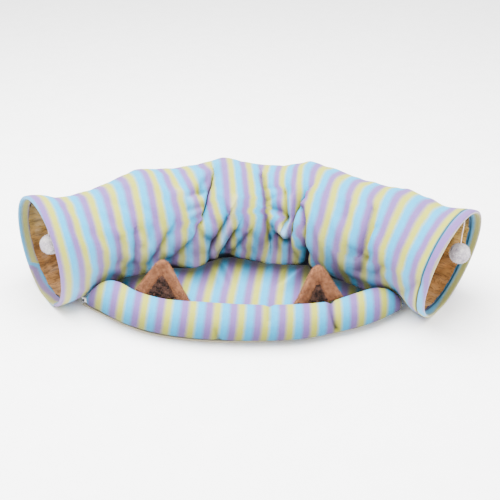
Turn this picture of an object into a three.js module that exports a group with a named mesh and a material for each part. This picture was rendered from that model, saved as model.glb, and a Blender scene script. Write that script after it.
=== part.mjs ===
// Plush cat tunnel with a bed: a striped tube on spring hoops that lies in a shallow arc, with a
// half-moon bed in its bend. The bed is a floor panel, a mat and a roll along the front, with two
// ears behind the roll, and a plush ball hangs in each mouth of the tunnel.
//
// Millimetres, +Z up. The origin is on the floor under the bed, +X runs along the object from the
// left mouth to the right one, and -Y is the front of the bed.

import * as THREE from 'three';
import { LoftGeometry } from 'three/addons/geometries/LoftGeometry.js';
import { mergeVertices } from 'three/addons/utils/BufferGeometryUtils.js';

// Driving dimensions of the tunnel
const HOOP_RADIUS = 126; // over the plush
const AXIS_HEIGHT = 123; // the tube settles a little, so its underside is a flat strip
const CLOTH = 3; // padded plush cover
const HEM = 26; // cover turned into each mouth
const HEM_THICKNESS = 8; // cover, hoop wire and hem together
const RIM_ROUND = 4;
const LINING = 1.5;
const LINING_GAP = 2; // lining hangs a little loose inside the cover
const SEAT_GAP = 0.3; // pieces that touch
const DRAPE_GAP = 2; // cloth beside the edge of another piece
const BED_GAP = 6.5; // bed beside the loose cover of the tube
const WELD = 1e-3; // points closer than this are one

// Spring hoops along the tube: centre in plan, and in degrees how far the hoop's top leans towards
// the right mouth and how far it turns across the tube, its bed side towards the right mouth
const HOOPS = [
  { x: -462, y: -66.5, lean: 0, turn: 1.5 },
  { x: -241, y: 68, lean: 0, turn: 0 },
  { x: -60, y: 130, lean: 0, turn: 0 },
  { x: 126, y: 111, lean: 0, turn: 0 },
  { x: 311, y: -27, lean: 0, turn: 0 },
  { x: 434, y: -122, lean: 8.5, turn: 1.3 },
];

// Cover between one hoop and the next: how deep its top sags, and where along the span
const SPANS = [
  { sag: 25, at: 0.48 },
  { sag: 13, at: 0.55 },
  { sag: 18, at: 0.55 },
  { sag: 11, at: 0.5 },
  { sag: 13, at: 0.68 },
];
const SAG_SIDE = 105; // angle round the tube where the cover sags most, degrees
const RIM_STIFF = 70; // length of cover that the rim keeps from sagging
const CREASE_SOFT = 0.6; // how round the bottom of a crease is

// Creases of the cover. Each runs from (s0, a0) to (s1, a1): s is mm along the tube from the left
// mouth, a is degrees round it, 0 on the side of the bed, 90 on top, -90 below. A crease is a trough
// of that width and depth, and a negative depth is a ridge.
const CREASES = [
  { s0: 186, a0: 18, s1: 177, a1: -22, width: 9, depth: 8 },
  { s0: 146, a0: 15, s1: 143, a1: -12, width: 9, depth: 5 },
  { s0: 270, a0: 11, s1: 216, a1: -22, width: 9, depth: 9 },
  { s0: 313, a0: -6, s1: 272, a1: -27, width: 9, depth: 8 },
  { s0: 346, a0: 66, s1: 334, a1: 44, width: 8, depth: 6 },
  { s0: 382, a0: 68, s1: 366, a1: 44, width: 8, depth: 7 },
  { s0: 424, a0: 82, s1: 385, a1: 40, width: 8, depth: 16 },
  { s0: 385, a0: 40, s1: 358, a1: 20, width: 8, depth: 12 },
  { s0: 406, a0: 14, s1: 370, a1: -20, width: 9, depth: 9 },
  { s0: 470, a0: 24, s1: 393, a1: -32, width: 11, depth: -8 },
  { s0: 452, a0: -2, s1: 418, a1: -32, width: 8, depth: 11 },
  { s0: 487, a0: -6, s1: 473, a1: -24, width: 9, depth: 7 },
  { s0: 534, a0: 72, s1: 544, a1: 38, width: 9, depth: 8 },
  { s0: 544, a0: 38, s1: 565, a1: -8, width: 9, depth: 10 },
  { s0: 570, a0: 32, s1: 618, a1: 20, width: 9, depth: 8 },
  { s0: 602, a0: 45, s1: 622, a1: 24, width: 8, depth: 8 },
  { s0: 662, a0: 48, s1: 650, a1: 32, width: 8, depth: 15 },
  { s0: 650, a0: 32, s1: 656, a1: 8, width: 8, depth: 13 },
  { s0: 678, a0: 24, s1: 692, a1: 2, width: 8, depth: 8 },
  { s0: 594, a0: 9, s1: 614, a1: 5, width: 15, depth: -10 },
  { s0: 590, a0: -7, s1: 622, a1: -8, width: 9, depth: 9 },
  { s0: 710, a0: -7, s1: 704, a1: -34, width: 9, depth: 15 },
  { s0: 893, a0: 64, s1: 875, a1: 24, width: 9, depth: 7 },
  { s0: 875, a0: 24, s1: 860, a1: 0, width: 10, depth: 9 },
  { s0: 904, a0: 3, s1: 904, a1: -4, width: 12, depth: 8 },
  { s0: 802, a0: 52, s1: 796, a1: 46, width: 12, depth: 5 },
  { s0: 991, a0: 2, s1: 961, a1: -24, width: 9, depth: 6 },
];

// Places where the ends of the front roll press the cover in
const PRESSES = [
  { s: 122, a: -42, along: 55, around: 40, depth: 18 },
  { s: 924, a: -44, along: 46, around: 42, depth: 31 },
];

// Driving dimensions of the bed
const PANEL = 5; // thin padded floor panel
const PANEL_GAP = 2.3; // panel's edge beside the curve of the tube
const PANEL_CORNER = 8; // panel's ends narrow by this under the tube
const BED_FOOT = PANEL + SEAT_GAP;
const MAT_TOP = 49;
const MAT_CROWN = 5;

// Floor panel: points of its front edge from left to right
const PANEL_FRONT = [
  { x: -374, y: -92 },
  { x: -330, y: -128 },
  { x: -224, y: -200 },
  { x: -105, y: -230 },
  { x: 31, y: -231 },
  { x: 127, y: -214 },
  { x: 214, y: -188 },
  { x: 290, y: -140 },
  { x: 322, y: -110 },
];

// Front roll: centre in plan and radius
const ROLL = [
  { x: -345, y: -98, radius: 25 },
  { x: -310, y: -117, radius: 37 },
  { x: -260, y: -158, radius: 37 },
  { x: -190, y: -193, radius: 37 },
  { x: -100, y: -213, radius: 39 },
  { x: 0, y: -220, radius: 38 },
  { x: 100, y: -215, radius: 37 },
  { x: 180, y: -191, radius: 34 },
  { x: 245, y: -162, radius: 36 },
  { x: 295, y: -129, radius: 32 },
  { x: 318, y: -117, radius: 22 },
];
const ROLL_SQUASH = 0.99; // height of the roll's section to its width
const ROLL_SETTLE = 1.06; // the lower half is this much deeper than the upper, so its foot is flat

// Ears: middle of the base and its height on the mat, turn about the vertical and lean back in
// degrees, size, how far the sides curl forward and how far the tip goes to the right. The dark panel
// is a triangle with a half width at its foot, and ends at a part of the ear's height.
const EARS = [
  {
    side: 'left', x: -185, y: -143, foot: 52.2, turn: -19, lean: 27,
    width: 142, height: 80, curl: 12, tip: -20, panelHalf: 38, panelEnd: 0.68,
  },
  {
    side: 'right', x: 142, y: -156, foot: 51.3, turn: 16, lean: 24,
    width: 120, height: 78, curl: 20, tip: 12, panelHalf: 25, panelEnd: 0.62,
  },
];
const EAR_THICKNESS = 16;
const EAR_HOLLOW = 4;
const EAR_PANEL = 2.5;
const PATCH_GAP = 0.7; // dark panel inside the slopes of its hollow

// Balls on their cords: how far inside its mouth and at which angle round the hem a cord hangs, and
// height of the ball's middle
const BALL_RADIUS = 24;
const BALL_DETAIL = 3;
const CORD_RADIUS = 1.2;
const CORD_GAP = 0.8; // cord's end under the slope of the hem
const CORD_SIDES = 8;
const CORD_STEPS = 12;
const CORD_ROUTE = [
  { part: 0, sway: 0 },
  { part: 0.35, sway: 0.8 },
  { part: 0.7, sway: -0.5 },
  { part: 1, sway: 0 },
];
const BALLS = [
  { side: 'left', inside: 22, angle: 82, z: 144 },
  { side: 'right', inside: 12, angle: 98, z: 146 },
];

// Zip of the roll's cover, seen only at the roll's two ends
const ZIP_TAPE = { length: 17, width: 11, thickness: 2 };
const ZIP_STOP = { length: 5, width: 6, thickness: 2.5 };
const ZIP_SLIDER = { length: 8, width: 6, thickness: 6 };
const ZIP_SIDE = 3; // tape runs on the front side of the roll's end
const ZIP_HEIGHT = 13; // middle of the tape over the floor

const degrees = THREE.MathUtils.degToRad;
const plush = (color) => new THREE.MeshStandardMaterial({ color, roughness: 0.95, metalness: 0 });
const STRIPED_PLUSH = plush(0xc3cfd9);
const LINING_CLOTH = new THREE.MeshStandardMaterial({ color: 0xb08a4e, roughness: 0.6, metalness: 0 });
const PANEL_CLOTH = plush(0xd9d3bf);
const TAN_PLUSH = plush(0xc08a68);
const DARK_CURLY_PLUSH = plush(0x5a4036);
const WHITE_PLUSH = plush(0xe9e6e4);
const CORD_YARN = plush(0xeae0dc);
const ZIP_WHITE = plush(0xf0f0f2);
const ZIP_DARK = new THREE.MeshStandardMaterial({ color: 0x2c2b33, roughness: 0.5, metalness: 0.1 });
const ZIP_METAL = new THREE.MeshStandardMaterial({ color: 0xb9bcc0, roughness: 0.35, metalness: 1 });

// Joins the faces of a geometry at their shared points
function welded(geometry) {
  const skin = new THREE.BufferGeometry().copy(geometry);
  skin.deleteAttribute('normal');
  skin.deleteAttribute('uv');
  return mergeVertices(skin, WELD);
}

// Closes a loft's seams and poles, so that it is one body with its faces pointing out
function closedBody(sections, options = { capStart: true, capEnd: true }) {
  const body = welded(new LoftGeometry(sections, options));
  const corners = body.index.array;
  const faces = [];
  for (let i = 0; i < corners.length; i += 3) {
    const [a, b, c] = corners.slice(i, i + 3);
    if (a !== b && b !== c && c !== a) faces.push([a, b, c]);
  }
  const at = (k) => new THREE.Vector3().fromBufferAttribute(body.attributes.position, k);
  let volume = 0;
  for (const [a, b, c] of faces) volume += at(a).dot(at(b).cross(at(c)));
  body.setIndex(faces.flatMap(([a, b, c]) => (volume > 0 ? [a, b, c] : [a, c, b])));
  return body;
}

function piece(name, geometry, material) {
  const mesh = new THREE.Mesh(geometry, material);
  mesh.name = name;
  return mesh;
}

const steps = (from, to, count) =>
  Array.from({ length: count + 1 }, (_, i) => THREE.MathUtils.lerp(from, to, i / count));

// Axis of the tube: a smooth curve through the hoops, told off in mm of straight spans
const axis = new THREE.CatmullRomCurve3(
  HOOPS.map((hoop) => new THREE.Vector3(hoop.x, hoop.y, AXIS_HEIGHT)), false, 'chordal');
const hoopAt = [0];
for (let i = 1; i < HOOPS.length; i++) {
  hoopAt.push(hoopAt[i - 1] + axis.points[i].distanceTo(axis.points[i - 1]));
}
const TUBE_LENGTH = hoopAt[hoopAt.length - 1];

// Span that a station lies in, and how far along it
function spanAt(s) {
  let i = 0;
  while (i < SPANS.length - 1 && s > hoopAt[i + 1]) i++;
  return { i, part: (s - hoopAt[i]) / (hoopAt[i + 1] - hoopAt[i]) };
}

// Middle of the tube at a station, its direction, its bed side and its lean
function sectionAt(s) {
  const { i, part } = spanAt(s);
  const t = (i + part) / SPANS.length;
  const along = axis.getTangent(t);
  const between = (column) => THREE.MathUtils.lerp(HOOPS[i][column], HOOPS[i + 1][column], part);
  return {
    middle: axis.getPoint(t),
    along,
    bedSide: new THREE.Vector3(along.y, -along.x, 0),
    leanSlope: Math.tan(degrees(between('lean'))),
    turnSlope: Math.tan(degrees(between('turn'))),
  };
}

// How far a crease draws the cover in at a point of the tube
function creaseAt(crease, s, a) {
  const round = degrees(1) * HOOP_RADIUS;
  const run = new THREE.Line3(
    new THREE.Vector3(crease.s0, crease.a0 * round, 0),
    new THREE.Vector3(crease.s1, crease.a1 * round, 0));
  const point = new THREE.Vector3(s, a * round, 0);
  const nearest = run.closestPointToPoint(point, true, new THREE.Vector3());
  const away = point.distanceTo(nearest) / crease.width;
  return crease.depth * Math.exp(-away * away / (CREASE_SOFT + away));
}

function pressAt(press, s, a) {
  const away = ((s - press.s) / press.along) ** 2 + ((a - press.a) / press.around) ** 2;
  return press.depth * Math.exp(-away);
}

// Radius of the cover's outside at a station and an angle in degrees
function coverRadius(s, angle) {
  const a = angle > 180 ? angle - 360 : angle;
  const { i, part } = spanAt(s);
  const skew = Math.log(0.5) / Math.log(SPANS[i].at);
  const dip = Math.sin(Math.PI * part ** skew);
  const loose = THREE.MathUtils.smoothstep(Math.min(s, TUBE_LENGTH - s), 0, RIM_STIFF);
  let drawn = SPANS[i].sag * dip * loose * (0.5 + 0.5 * Math.cos(degrees(a - SAG_SIDE)));
  for (const crease of CREASES) drawn += creaseAt(crease, s, a);
  for (const press of PRESSES) drawn += pressAt(press, s, a);
  return HOOP_RADIUS - drawn;
}

// Point of the tube at a station, an angle and a radius, never lower than the given height
function tubePoint(s, angle, radius, floor) {
  const { middle, along, bedSide, leanSlope, turnSlope } = sectionAt(s);
  const out = radius * Math.cos(degrees(angle));
  const z = Math.max(AXIS_HEIGHT + radius * Math.sin(degrees(angle)), floor);
  return middle.clone()
    .addScaledVector(bedSide, out)
    .addScaledVector(along, leanSlope * (z - AXIS_HEIGHT) + turnSlope * out)
    .setZ(z);
}

// Angles round the tube: close together on the creased side, then the back and the floor strip
const FLOOR_STRIP = THREE.MathUtils.radToDeg(Math.acos(AXIS_HEIGHT / HOOP_RADIUS));
const COVER_ANGLES = [
  ...steps(-54, 90, 18),
  ...steps(98, 240, 8),
  ...steps(270 - FLOOR_STRIP, 270 + FLOOR_STRIP, 2),
  294,
];

// Stations along the cover from one hem to the other: runs of even steps, short where it is creased
const COVER_RUNS = [
  { to: 100, count: 3 },
  { to: hoopAt[1], count: 9 },
  { to: 330, count: 4 },
  { to: hoopAt[2], count: 9 },
  { to: 536, count: 5 },
  { to: hoopAt[3], count: 7 },
  { to: 720, count: 7 },
  { to: hoopAt[4], count: 8 },
  { to: 960, count: 7 },
  { to: TUBE_LENGTH - HEM, count: 2 },
];
const COVER_STATIONS = [HEM];
for (const { to, count } of COVER_RUNS) {
  COVER_STATIONS.push(...steps(COVER_STATIONS[COVER_STATIONS.length - 1], to, count).slice(1));
}

function ring(s, inset) {
  return COVER_ANGLES.map((a) => tubePoint(s, a, coverRadius(s, a) - inset, inset));
}

// Cover: outside wall, round rim, hem and inside wall, closed in a loop of rings
function tunnelCover() {
  const end = TUBE_LENGTH;
  const rimMiddle = HEM_THICKNESS / 2;
  const outside = [RIM_ROUND, ...COVER_STATIONS, end - RIM_ROUND].map((s) => ring(s, 0));
  const rightRim = [ring(end, rimMiddle)];
  const [leftHung, rightHung] = BALLS;
  const rightHem = [RIM_ROUND, rightHung.inside, HEM].map((s) => ring(end - s, HEM_THICKNESS));
  const inside = COVER_STATIONS.toReversed().map((s) => ring(s, CLOTH));
  const leftHem = [HEM, leftHung.inside, RIM_ROUND].map((s) => ring(s, HEM_THICKNESS));
  const leftRim = [ring(0, rimMiddle)];
  const rings = [...outside, ...rightRim, ...rightHem, ...inside, ...leftHem, ...leftRim];
  return closedBody([...rings, rings[0]], { closed: true });
}

// Lining: a loose tube just inside the cover, from hem to hem, on every second station and angle of
// the cover. Each point keeps inside the cover's lowest neighbour, so no crease cuts it.
const LINING_LOOKS = 8;
function tunnelLining() {
  const first = HEM + SEAT_GAP;
  const last = TUBE_LENGTH - HEM - SEAT_GAP;
  const between = COVER_STATIONS.slice(1, -1).filter((_, i) => i % 2 === 1);
  const stations = [first, ...between, last];
  const angles = COVER_ANGLES.filter((_, i) => i % 2 === 0);
  const angleAt = (j) => angles[(j + angles.length) % angles.length] + 360 * Math.floor(j / angles.length);
  const lowest = (i, j) => {
    const before = stations[Math.max(i - 1, 0)];
    const after = stations[Math.min(i + 1, stations.length - 1)];
    const near = steps(before, after, LINING_LOOKS);
    const round = steps(angleAt(j - 1), angleAt(j + 1), LINING_LOOKS)
      .map((a) => THREE.MathUtils.euclideanModulo(a, 360));
    return Math.min(...near.flatMap((s) => round.map((a) => coverRadius(s, a)))) - CLOTH - LINING_GAP;
  };
  const radii = stations.map((_, i) => angles.map((_, j) => lowest(i, j)));
  const liningRing = (i, inset) =>
    angles.map((a, j) => tubePoint(stations[i], a, radii[i][j] - inset, CLOTH + LINING_GAP + inset));
  const outside = stations.map((_, i) => liningRing(i, 0));
  const inside = stations.map((_, i) => liningRing(i, LINING)).toReversed();
  return closedBody([...outside, ...inside, outside[0]], { closed: true });
}

// Nearest station of the tube to a point in plan, and how far the point lies out on the bed side
const PLAN_STEPS = 255;
const PLAN_STATIONS = steps(0, TUBE_LENGTH, PLAN_STEPS);
function besideTube(point) {
  let best = { away: Infinity };
  for (const s of PLAN_STATIONS) {
    const section = sectionAt(s);
    const away = Math.hypot(point.x - section.middle.x, point.y - section.middle.y);
    if (away < best.away) best = { away, s, section };
  }
  const out = point.clone().sub(best.section.middle).dot(best.section.bedSide);
  return { ...best, out };
}

// How far the tube reaches out on the bed side at a height
const REACH_TURNS = 4;
function tubeReach(s, z) {
  let radius = HOOP_RADIUS;
  for (let turn = 0; turn < REACH_TURNS; turn++) {
    const rise = THREE.MathUtils.clamp((z - AXIS_HEIGHT) / radius, -1, 1);
    radius = coverRadius(s, THREE.MathUtils.radToDeg(Math.asin(rise)));
  }
  return Math.sqrt(Math.max(0, radius ** 2 - (z - AXIS_HEIGHT) ** 2));
}

// Moves a point of the bed level out of the tube, so that it keeps a gap to the cover
function clearOfTube(point, gap) {
  const { s, section, out } = besideTube(point);
  const short = tubeReach(s, point.z) + gap - out;
  return short > 0 ? point.clone().addScaledVector(section.bedSide, short) : point;
}

// Smooth curve in plan through a table's points, at a height
const planCurve = (table, z) =>
  new THREE.CatmullRomCurve3(table.map(({ x, y }) => new THREE.Vector3(x, y, z)), false, 'centripetal');

// Point of the tube's axis at a place along X
function tubeAbove(x) {
  let best = sectionAt(0).middle;
  for (const s of PLAN_STATIONS) {
    const { middle } = sectionAt(s);
    if (Math.abs(middle.x - x) < Math.abs(best.x - x)) best = middle;
  }
  return best;
}

// Floor panel: front edge by its table, back edge tucked under the tube
const PANEL_FRONT_STEPS = 30;
const PANEL_BACK_STEPS = 24;

function bedPanel() {
  const front = planCurve(PANEL_FRONT, PANEL).getPoints(PANEL_FRONT_STEPS);
  const left = front[0].x + PANEL_CORNER;
  const right = front[front.length - 1].x - PANEL_CORNER;
  const back = steps(right, left, PANEL_BACK_STEPS).map((x) => {
    const { section, s } = besideTube(tubeAbove(x));
    return section.middle.clone().addScaledVector(section.bedSide, tubeReach(s, PANEL) + PANEL_GAP);
  });
  const outline = [...front.map((p) => clearOfTube(p, PANEL_GAP)), ...back];
  const shape = new THREE.Shape(outline.map((p) => new THREE.Vector2(p.x, p.y)));
  return new THREE.ExtrudeGeometry(shape, { depth: PANEL, bevelEnabled: false });
}

// Front roll: round sections along a curve, flat where it lies on the panel, pressed by the tube
const rollCurve = planCurve(ROLL, PANEL);
const rollRadius = new THREE.CatmullRomCurve3(
  ROLL.map(({ x, radius }) => new THREE.Vector3(x, radius, 0)), false, 'centripetal');
const ROLL_STEPS = 32;
const ROLL_SIDES = 18;
const ROLL_END = 15; // round nose at each end
const NOSE_ANGLE = degrees(80);
const NOSE_STEPS = 3;
const ROLL_PARTS = steps(0, 1, 120);

function rollSection(t, nose, size) {
  const middle = rollCurve.getPoint(t);
  const along = rollCurve.getTangent(t);
  const back = new THREE.Vector3(-along.y, along.x, 0);
  const radius = rollRadius.getPoint(t).y;
  const high = ROLL_SQUASH * radius * size;
  const centre = middle.clone().addScaledVector(along, nose).setZ(BED_FOOT + high);
  return steps(0, 360, ROLL_SIDES).slice(0, -1).map((a) => {
    const point = centre.clone().addScaledVector(back, size * radius * Math.cos(degrees(a)));
    const lift = high * Math.sin(degrees(a));
    point.z = Math.max(BED_FOOT, centre.z + (lift > 0 ? lift : ROLL_SETTLE * lift));
    return clearOfTube(point, BED_GAP);
  });
}

function frontRoll() {
  const nose = steps(0, 1, NOSE_STEPS).slice(1).map((k) => ({
    nose: ROLL_END * Math.sin(k * NOSE_ANGLE),
    size: Math.cos(k * NOSE_ANGLE),
  }));
  const leftNose = nose.toReversed().map((n) => rollSection(0, -n.nose, n.size));
  const rightNose = nose.map((n) => rollSection(1, n.nose, n.size));
  const body = steps(0, 1, ROLL_STEPS).map((t) => rollSection(t, 0, 1));
  return closedBody([...leftNose, ...body, ...rightNose]);
}

// Mat: a crowned cushion between the roll and the tube, its back tucked under the tube
const MAT_ENDS = { left: -292, right: 246 };
const MAT_STEPS = 32;
const MAT_SIDES = 18;
const MAT_HALF = 4; // half width of the mat's pointed ends
const MAT_EDGE = 10; // least height of the mat, at its ends
const MAT_SLOPE = 1.1; // how fast it rises from there as it widens
const MAT_FULL = 60; // half width from which it has its full crown
// Exponents of the mat's section: sides drawn in, crown, top edge and foot
const MAT_ROUND = { side: 0.6, crown: 1.5, top: 0.5, foot: 0.35 };

// Where the back of the roll lies at a place along X
function rollBack(x) {
  let back = -Infinity;
  for (const t of ROLL_PARTS) {
    const p = rollCurve.getPoint(t);
    const reach = rollRadius.getPoint(t).y;
    if (Math.abs(p.x - x) < reach) back = Math.max(back, p.y + Math.sqrt(reach ** 2 - (p.x - x) ** 2));
  }
  return back;
}

function matSection(x) {
  const front = rollBack(x) + SEAT_GAP;
  const under = tubeAbove(x);
  const { s, section } = besideTube(under);
  const back = under.y + section.bedSide.y * tubeReach(s, (BED_FOOT + MAT_TOP) / 2) - DRAPE_GAP;
  const half = Math.max((back - front) / 2, MAT_HALF);
  const middle = (front + back) / 2;
  const side = Math.min(MAT_TOP - BED_FOOT, MAT_EDGE + MAT_SLOPE * half) / 2;
  const crown = MAT_CROWN * Math.min(1, half / MAT_FULL);
  return steps(0, 360, MAT_SIDES).slice(0, -1).map((a) => {
    const across = Math.cos(degrees(a));
    const up = Math.sin(degrees(a));
    const y = middle + half * Math.sign(across) * Math.abs(across) ** MAT_ROUND.side;
    const swell = crown * (1 - Math.abs(across) ** MAT_ROUND.crown);
    const top = side * up ** MAT_ROUND.top + swell;
    const foot = -side * (-up) ** MAT_ROUND.foot;
    const z = BED_FOOT + side + (up > 0 ? top : foot);
    return clearOfTube(new THREE.Vector3(x, y, Math.max(BED_FOOT, z)), BED_GAP);
  });
}

function bedMat() {
  return closedBody(steps(MAT_ENDS.left, MAT_ENDS.right, MAT_STEPS).map(matSection));
}

// Moves a point behind the front roll level out of it, so that it keeps a gap to the roll
function clearOfRoll(point, gap) {
  let best = { away: Infinity };
  for (const t of ROLL_PARTS) {
    const middle = rollCurve.getPoint(t);
    const away = Math.hypot(point.x - middle.x, point.y - middle.y);
    if (away < best.away) best = { away, t, middle };
  }
  const along = rollCurve.getTangent(best.t);
  const back = new THREE.Vector3(-along.y, along.x, 0);
  const radius = rollRadius.getPoint(best.t).y;
  const rise = (point.z - PANEL - ROLL_SQUASH * radius) / (ROLL_SQUASH * radius + gap);
  const reach = Math.abs(rise) < 1 ? (radius + gap) * Math.sqrt(1 - rise * rise) : 0;
  const short = reach - point.clone().sub(best.middle).dot(back);
  return reach > 0 && short > 0 ? point.clone().addScaledVector(back, short) : point;
}

// Ears: a curled, padded triangle with a hollow in its front for the dark panel
const EAR_ROWS = 14;
const EAR_TIP = 0.995; // part of the height where the round tip closes
const EAR_FLARE = 0.35; // part of the width that spreads to the foot, the rest rounds the tip
const EAR_SLIM = 16; // half width under which the ear gets thinner
const EAR_THIN = 0.3; // part of its thickness that it loses up to the tip
const EAR_PANEL_FOOT = 0.03; // part of the height where the dark panel starts
const EAR_EDGE = 0.7; // how far the front stands out near an edge, part of the ear's thickness there
// Points across an ear's back and across its dark panel, parts of their half widths
const EAR_ACROSS = [-0.8, -0.4, 0, 0.4, 0.8];
const PANEL_ACROSS = [-1, -0.5, 0, 0.5, 1];

// Half widths of an ear and of its hollow at a part of its height
function earHalf(ear, k) {
  return ear.width / 2 * (EAR_FLARE * (1 - k) ** 2 + (1 - EAR_FLARE) * Math.sqrt(1 - k));
}

const hollowHalf = (ear, k) => Math.max(ear.panelHalf * (1 - k / ear.panelEnd), 0);

// How thick an ear is either way of its middle, thinner towards the tip
function earPad(ear, k) {
  return EAR_THICKNESS / 2 * Math.min(1, earHalf(ear, k) / EAR_SLIM) * (1 - EAR_THIN * k);
}

// Point of an ear: mm across, part of the height, and mm behind its curled middle
function earPoint(ear, across, k, behind) {
  const curl = ear.curl * (across / (ear.width / 2)) ** 2;
  const point = new THREE.Vector3(across + ear.tip * k, behind - curl, k * ear.height);
  point.applyAxisAngle(new THREE.Vector3(1, 0, 0), -degrees(ear.lean));
  point.applyAxisAngle(new THREE.Vector3(0, 0, 1), degrees(ear.turn));
  return clearOfRoll(point.add(new THREE.Vector3(ear.x, ear.y, ear.foot)), DRAPE_GAP);
}

const EAR_STEPS = steps(0, 1, EAR_ROWS).map((t) => EAR_TIP * (1 - (1 - t) ** 2));
const EAR_HEIGHTS = [...EAR_STEPS, EAR_PANEL_FOOT].sort((a, b) => a - b);

function earBody(ear) {
  const sections = EAR_HEIGHTS.map((k) => {
    const half = earHalf(ear, k);
    const inner = hollowHalf(ear, k);
    const pad = earPad(ear, k);
    const hollow = inner > 0 ? EAR_HOLLOW : 0;
    const across = [0.5 * inner, inner, inner + EAR_HOLLOW, half - 0.5 * pad];
    const depth = [hollow - pad, hollow - pad, -pad, -EAR_EDGE * pad];
    const right = across.map((x, i) => earPoint(ear, x, k, depth[i]));
    const left = across.map((x, i) => earPoint(ear, -x, k, depth[i])).toReversed();
    const middle = earPoint(ear, 0, k, hollow - pad);
    const behind = EAR_ACROSS.toReversed().map((c) =>
      earPoint(ear, c * half, k, pad * Math.sqrt(1 - c * c)));
    const edges = [half, -half].map((x) => earPoint(ear, x, k, 0));
    return [...left, middle, ...right, edges[0], ...behind, edges[1]];
  });
  return closedBody(sections);
}

// Dark panel: a flat triangle that fills an ear's hollow
function earPanel(ear) {
  const rows = EAR_HEIGHTS.filter((k) => k >= EAR_PANEL_FOOT && hollowHalf(ear, k) > EAR_HOLLOW / 2);
  const sections = rows.map((k) => {
    const half = hollowHalf(ear, k) - PATCH_GAP;
    const floor = EAR_HOLLOW - earPad(ear, k) - PATCH_GAP;
    const front = PANEL_ACROSS.map((c) => earPoint(ear, c * half, k, floor - EAR_PANEL));
    const behind = PANEL_ACROSS.map((c) => earPoint(ear, c * half, k, floor)).toReversed();
    return [...front, ...behind];
  });
  return closedBody(sections);
}

// Point of the hem's inside, on top, that a ball hangs from
function hungFrom(hung) {
  const s = hung.side === 'left' ? hung.inside : TUBE_LENGTH - hung.inside;
  return tubePoint(s, hung.angle, coverRadius(s, hung.angle) - HEM_THICKNESS, 0);
}

function ball(hung) {
  const { x, y } = hungFrom(hung);
  return welded(new THREE.IcosahedronGeometry(BALL_RADIUS, BALL_DETAIL)).translate(x, y, hung.z);
}

function ballCord(hung) {
  const top = hungFrom(hung);
  const knot = hung.z + BALL_RADIUS + SEAT_GAP;
  const route = new THREE.CatmullRomCurve3(
    CORD_ROUTE.map(({ part, sway }) =>
      new THREE.Vector3(top.x + sway, top.y, THREE.MathUtils.lerp(top.z - CORD_GAP, knot, part))));
  const section = new THREE.Shape(
    steps(0, 2 * Math.PI, CORD_SIDES).slice(1).map((a) =>
      new THREE.Vector2(CORD_RADIUS * Math.cos(a), CORD_RADIUS * Math.sin(a))));
  return welded(new THREE.ExtrudeGeometry(section, { steps: CORD_STEPS, extrudePath: route }));
}

// Zip of the roll's cover: tape and stop beyond the roll's left end, slider at its right end
function besideRollEnd(geometry, t, beyond, side, z) {
  const along = rollCurve.getTangent(t);
  const way = t === 0 ? -1 : 1;
  const nose = ROLL_END * Math.sin(NOSE_ANGLE);
  const place = rollCurve.getPoint(t)
    .addScaledVector(along, way * (nose + SEAT_GAP + beyond))
    .addScaledVector(new THREE.Vector3(along.y, -along.x, 0), side)
    .setZ(z);
  return geometry.rotateZ(Math.atan2(along.y, along.x)).translate(place.x, place.y, place.z);
}

function zipTape() {
  const { length, width, thickness } = ZIP_TAPE;
  const strip = new THREE.BoxGeometry(length, thickness, width);
  return besideRollEnd(strip, 0, length / 2, ZIP_SIDE, ZIP_HEIGHT);
}

function zipStop() {
  const { length, width, thickness } = ZIP_STOP;
  const block = new THREE.BoxGeometry(length, thickness, width);
  const side = ZIP_SIDE + (ZIP_TAPE.thickness + thickness) / 2 + SEAT_GAP;
  return besideRollEnd(block, 0, ZIP_TAPE.length - length, side, ZIP_HEIGHT);
}

function zipSlider() {
  const { length, width, thickness } = ZIP_SLIDER;
  const block = new THREE.BoxGeometry(length, thickness, width);
  return besideRollEnd(block, 1, length / 2, 0, ZIP_HEIGHT);
}

const tunnel = new THREE.Group();
tunnel.add(piece('tunnel_cover', tunnelCover(), STRIPED_PLUSH));
tunnel.add(piece('tunnel_lining', tunnelLining(), LINING_CLOTH));
for (const hung of BALLS) {
  tunnel.add(piece(`ball_cord_${hung.side}`, ballCord(hung), CORD_YARN));
  tunnel.add(piece(`ball_${hung.side}`, ball(hung), WHITE_PLUSH));
}

const bed = new THREE.Group();
bed.add(piece('bed_panel', bedPanel(), PANEL_CLOTH));
bed.add(piece('bed_mat', bedMat(), STRIPED_PLUSH));
bed.add(piece('front_roll', frontRoll(), STRIPED_PLUSH));
for (const ear of EARS) {
  bed.add(piece(`ear_${ear.side}`, earBody(ear), TAN_PLUSH));
  bed.add(piece(`ear_panel_${ear.side}`, earPanel(ear), DARK_CURLY_PLUSH));
}
bed.add(piece('zip_tape', zipTape(), ZIP_WHITE));
bed.add(piece('zip_stop', zipStop(), ZIP_DARK));
bed.add(piece('zip_slider', zipSlider(), ZIP_METAL));

const catTunnel = new THREE.Group();
catTunnel.add(tunnel, bed);

export default catTunnel;
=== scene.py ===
"""Looks of the plush cat tunnel with a bed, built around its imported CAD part.

The tables and formulas are in millimetres and degrees, and meshes are made in metres. On the tube, s is
mm along it from the left mouth, and a is degrees round it: 0 on the side of the bed, 90 on top, 180 at
the back and -90 below.
"""
import math

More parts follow.
